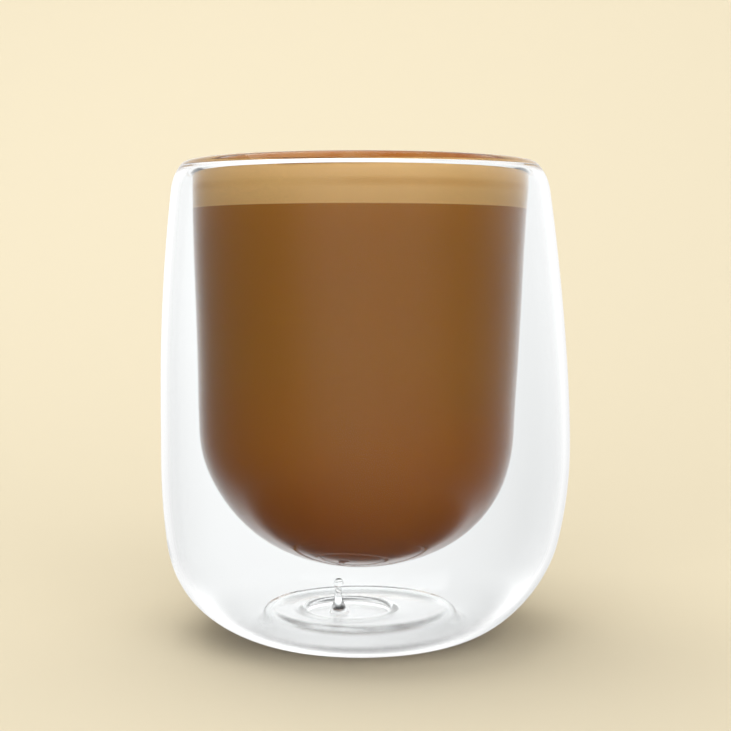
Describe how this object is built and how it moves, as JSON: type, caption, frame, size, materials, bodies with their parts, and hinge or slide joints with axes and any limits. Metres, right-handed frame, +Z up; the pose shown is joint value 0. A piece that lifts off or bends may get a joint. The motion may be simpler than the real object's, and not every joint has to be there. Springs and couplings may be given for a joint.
{
  "type": "flat white in a double-walled glass",
  "caption": "Double-walled tumbler of clear blown glass with a sealed air gap, filled with milky coffee under a layer of milk foam.",
  "frame": {"origin": "on the glass's axis, at the level of the table that its foot stands on", "axes": "+Z up along the glass's axis, out of the rim; -Y is the front; the sunk seal disc of the base lies towards -X"},
  "size_m": [0.082, 0.082, 0.0944],
  "materials": {
    "glass": "fire-polished clear borosilicate",
    "coffee": "opaque milky coffee",
    "foam": "fine milk foam stained with coffee"
  },
  "bodies": {
    "root": {"glass": "glass", "coffee": "coffee", "foam": "foam"}
  },
  "joints": []
}
